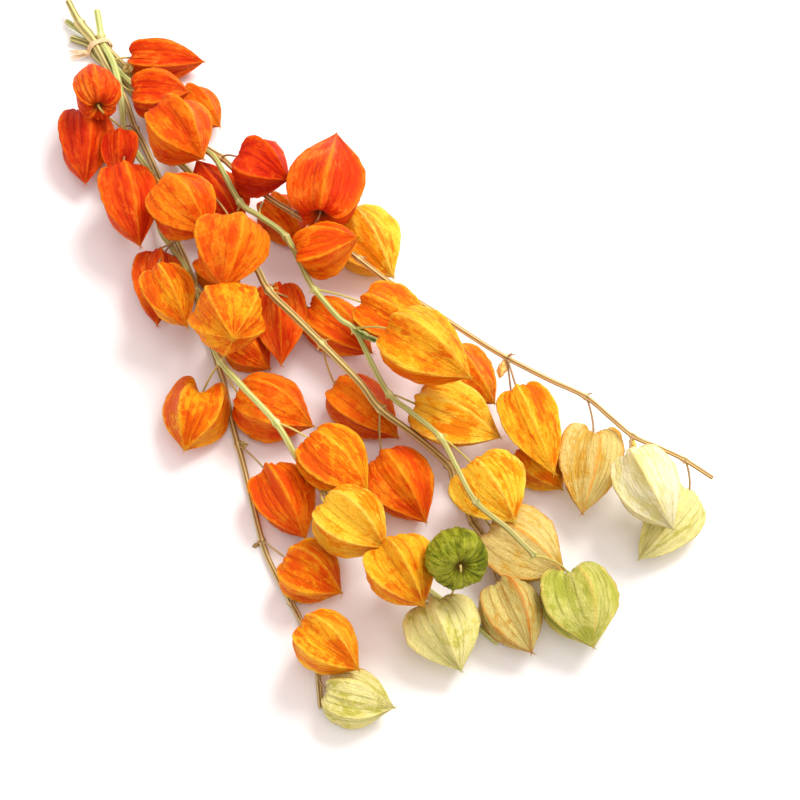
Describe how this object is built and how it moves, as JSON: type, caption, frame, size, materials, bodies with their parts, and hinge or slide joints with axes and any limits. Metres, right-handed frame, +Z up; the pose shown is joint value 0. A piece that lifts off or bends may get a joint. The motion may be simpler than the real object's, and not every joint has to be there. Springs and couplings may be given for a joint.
{
  "type": "tied bunch of dried physalis stems with lantern fruit",
  "caption": "Cut Physalis stems with papery lantern husks, red at the cut ends and green at the tips, tied with raffia and lying on a surface.",
  "frame": {"origin": "middle of the bounding box's floor, on the surface the bunch lies on", "axes": "+X along the bunch from the cut ends to the tips, +Z up, +Y across the bunch"},
  "size_m": [0.6162, 0.2876, 0.0976],
  "materials": {
    "husk_red": "thin papery husk, deep red-orange, veined, slightly satin",
    "husk_orange": "thin papery husk, orange mottled with yellow, veined, slightly satin",
    "husk_cream": "thin papery husk, pale yellow with orange edges, veined",
    "husk_green": "thin papery husk, pale green, veined",
    "stem_green": "dry green stem, finely ribbed, matt",
    "stem_brown": "dry brown stem, finely ribbed, matt",
    "raffia": "straw-coloured raffia strand, fibrous, matt"
  },
  "bodies": {
    "root": {"lantern_01": "husk_red", "lantern_02": "husk_red", "lantern_03": "husk_red", "lantern_04": "husk_red", "lantern_05": "husk_red", "lantern_06": "husk_red", "lantern_07": "husk_orange", "lantern_08": "husk_red", "lantern_09": "husk_red", "lantern_10": "husk_red", "lantern_11": "husk_red", "lantern_12": "husk_red", "lantern_13": "husk_red", "lantern_14": "husk_orange", "lantern_15": "husk_orange", "lantern_16": "husk_orange", "lantern_17": "husk_red", "lantern_18": "husk_red", "lantern_19": "husk_orange", "lantern_20": "husk_orange", "lantern_21": "husk_red", "lantern_22": "husk_red", "lantern_23": "husk_red", "lantern_24": "husk_orange", "lantern_25": "husk_orange", "lantern_26": "husk_orange", "lantern_27": "husk_orange", "lantern_28": "husk_orange", "lantern_29": "husk_orange", "lantern_30": "husk_orange", "lantern_31": "husk_cream", "lantern_32": "husk_cream", "lantern_33": "husk_green", "lantern_34": "husk_cream", "lantern_35": "husk_green", "lantern_36": "husk_cream", "lantern_37": "husk_green", "lantern_38": "husk_green", "lantern_39": "husk_orange", "lantern_40": "husk_orange", "lantern_41": "husk_orange", "lantern_42": "husk_red", "lantern_43": "husk_red", "lantern_44": "husk_orange", "lantern_45": "husk_orange", "lantern_46": "husk_cream", "lantern_47": "husk_red", "lantern_48": "husk_red", "lantern_49": "husk_orange", "stem_a": "stem_green", "stem_b": "stem_brown", "stem_c": "stem_brown", "stem_d": "stem_green", "stem_e": "stem_brown", "raffia_tie": "raffia"}
  },
  "joints": []
}
